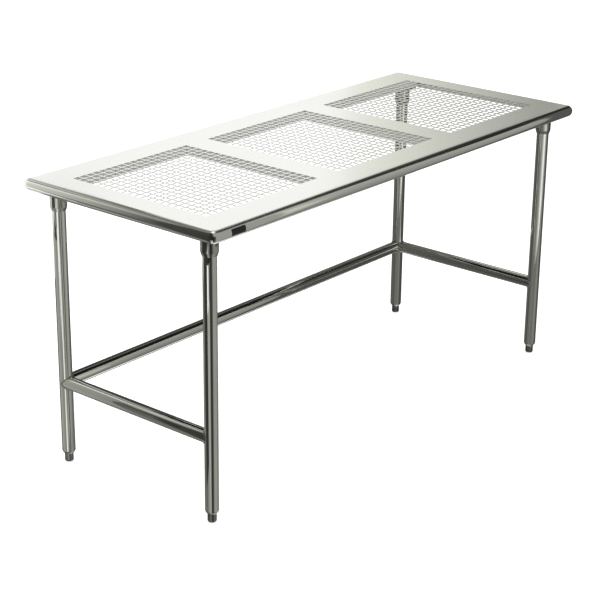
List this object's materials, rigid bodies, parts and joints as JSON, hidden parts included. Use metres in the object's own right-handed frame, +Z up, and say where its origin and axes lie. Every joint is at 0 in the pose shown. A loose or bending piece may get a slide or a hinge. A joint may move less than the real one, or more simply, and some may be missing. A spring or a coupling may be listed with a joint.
{
  "type": "cleanroom table",
  "caption": "Stainless-steel cleanroom table with a perforated rolled-edge top, tube legs in sockets, a lower rail on the back and both ends, and levelling feet.",
  "frame": {"origin": "on the floor, under the middle of the table", "axes": "+X along the length, from left to right seen from the front; -Y is the front, which has no lower rail; +Z up"},
  "size_m": [1.8288, 0.762, 0.9144],
  "materials": {
    "top_steel": "fine straight brushing, electropolished",
    "channel_steel": "mill finish",
    "tube_steel": "polished tube",
    "socket_steel": "satin casting",
    "screw_steel": "blackened screw",
    "insert_steel": "turned",
    "stud_steel": "threaded bar",
    "foot_steel": "turned, dull"
  },
  "bodies": {
    "table": {"top_sheet": "top_steel", "front_channel": "channel_steel", "back_channel": "channel_steel", "left_cross_channel": "channel_steel", "right_cross_channel": "channel_steel", "left_rail": "tube_steel", "right_rail": "tube_steel", "back_rail": "tube_steel", "leg_front_left": "tube_steel", "leg_socket_front_left": "socket_steel", "set_screw_front_left": "screw_steel", "foot_insert_front_left": "insert_steel", "leg_front_right": "tube_steel", "leg_socket_front_right": "socket_steel", "set_screw_front_right": "screw_steel", "foot_insert_front_right": "insert_steel", "leg_back_left": "tube_steel", "leg_socket_back_left": "socket_steel", "set_screw_back_left": "screw_steel", "foot_insert_back_left": "insert_steel", "leg_back_right": "tube_steel", "leg_socket_back_right": "socket_steel", "set_screw_back_right": "screw_steel", "foot_insert_back_right": "insert_steel"},
    "foot_stud_front_left": {"foot_stud_front_left": "stud_steel"},
    "foot_bullet_front_left": {"foot_bullet_front_left": "foot_steel"},
    "foot_stud_front_right": {"foot_stud_front_right": "stud_steel"},
    "foot_bullet_front_right": {"foot_bullet_front_right": "foot_steel"},
    "foot_stud_back_left": {"foot_stud_back_left": "stud_steel"},
    "foot_bullet_back_left": {"foot_bullet_back_left": "foot_steel"},
    "foot_stud_back_right": {"foot_stud_back_right": "stud_steel"},
    "foot_bullet_back_right": {"foot_bullet_back_right": "foot_steel"}
  },
  "joints": [
    {"name": "foot_travel_front_left", "type": "slide", "parent": "table", "child": "foot_stud_front_left", "axis": [0, 0, -1], "range_m": [0, 0.0254]},
    {"name": "foot_turn_front_left", "type": "hinge", "parent": "foot_stud_front_left", "child": "foot_bullet_front_left", "pos_m": [-0.84455, -0.3016, 0], "axis": [0, 0, -1], "range_deg": [0, 4680]},
    {"name": "foot_travel_front_right", "type": "slide", "parent": "table", "child": "foot_stud_front_right", "axis": [0, 0, -1], "range_m": [0, 0.0254]},
    {"name": "foot_turn_front_right", "type": "hinge", "parent": "foot_stud_front_right", "child": "foot_bullet_front_right", "pos_m": [0.84455, -0.3016, 0], "axis": [0, 0, -1], "range_deg": [0, 4680]},
    {"name": "foot_travel_back_left", "type": "slide", "parent": "table", "child": "foot_stud_back_left", "axis": [0, 0, -1], "range_m": [0, 0.0254]},
    {"name": "foot_turn_back_left", "type": "hinge", "parent": "foot_stud_back_left", "child": "foot_bullet_back_left", "pos_m": [-0.84455, 0.3016, 0], "axis": [0, 0, -1], "range_deg": [0, 4680]},
    {"name": "foot_travel_back_right", "type": "slide", "parent": "table", "child": "foot_stud_back_right", "axis": [0, 0, -1], "range_m": [0, 0.0254]},
    {"name": "foot_turn_back_right", "type": "hinge", "parent": "foot_stud_back_right", "child": "foot_bullet_back_right", "pos_m": [0.84455, 0.3016, 0], "axis": [0, 0, -1], "range_deg": [0, 4680]}
  ],
  "couplings": [
    {"joint": "foot_travel_front_left", "follows": "foot_turn_front_left", "m_per_rad": 0.00031096},
    {"joint": "foot_travel_front_right", "follows": "foot_turn_front_right", "m_per_rad": 0.00031096},
    {"joint": "foot_travel_back_left", "follows": "foot_turn_back_left", "m_per_rad": 0.00031096},
    {"joint": "foot_travel_back_right", "follows": "foot_turn_back_right", "m_per_rad": 0.00031096}
  ]
}
